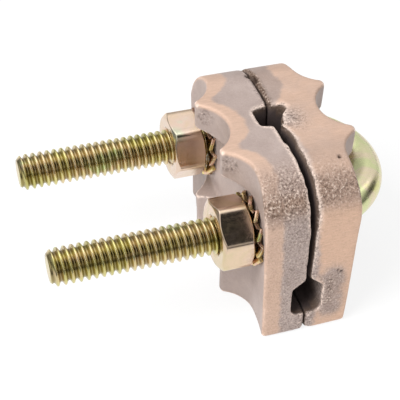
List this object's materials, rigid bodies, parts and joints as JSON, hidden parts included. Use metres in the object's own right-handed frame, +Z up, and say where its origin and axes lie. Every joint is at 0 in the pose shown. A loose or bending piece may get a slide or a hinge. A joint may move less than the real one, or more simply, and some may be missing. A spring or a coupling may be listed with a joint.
{
  "type": "u-bolt ground clamp",
  "caption": "Ground connector: two cast jaws on a threaded U-bolt grip a grounding cable between them and a rod in the bow.",
  "frame": {"origin": "on the surface that the jaws stand on, below the middle of the whole length and midway between the bolt legs", "axes": "+X along the bolt legs from their threaded ends towards the bow, +Y across the legs, +Z up"},
  "size_m": [0.0626, 0.0408, 0.0322],
  "materials": {
    "cast_bronze": "rough sand casting, tumbled",
    "plated_bolt": "yellow zinc plating, glossy",
    "plated_nut": "yellow zinc plating, glossy",
    "plated_washer": "yellow zinc plating, glossy"
  },
  "bodies": {
    "u_bolt": {"u_bolt": "plated_bolt"},
    "nut_side": {"nut_side_jaw": "cast_bronze", "lower_lock_washer": "plated_washer", "upper_lock_washer": "plated_washer"},
    "rod_side": {"rod_side_jaw": "cast_bronze"},
    "lower_nut": {"lower_nut": "plated_nut"},
    "upper_nut": {"upper_nut": "plated_nut"}
  },
  "joints": [
    {"name": "nut_side_slide", "type": "slide", "parent": "u_bolt", "child": "nut_side", "axis": [-1, 0, 0], "range_m": [0, 0.0265]},
    {"name": "lower_nut_turn", "type": "hinge", "parent": "nut_side", "child": "lower_nut", "pos_m": [-0.00074, -0.01255, 0.0192], "axis": [-1, 0, 0], "range_deg": [0, 7520]},
    {"name": "upper_nut_turn", "type": "hinge", "parent": "nut_side", "child": "upper_nut", "pos_m": [-0.00074, 0.01255, 0.0192], "axis": [-1, 0, 0], "range_deg": [0, 7520]},
    {"name": "rod_side_slide", "type": "slide", "parent": "u_bolt", "child": "rod_side", "axis": [-1, 0, 0], "range_m": [0, 0.01325]}
  ],
  "couplings": [
    {"joint": "lower_nut_turn", "follows": "nut_side_slide", "rad_per_m": 4947.4},
    {"joint": "upper_nut_turn", "follows": "nut_side_slide", "rad_per_m": 4947.4},
    {"joint": "rod_side_slide", "follows": "nut_side_slide", "ratio": 0.5}
  ]
}
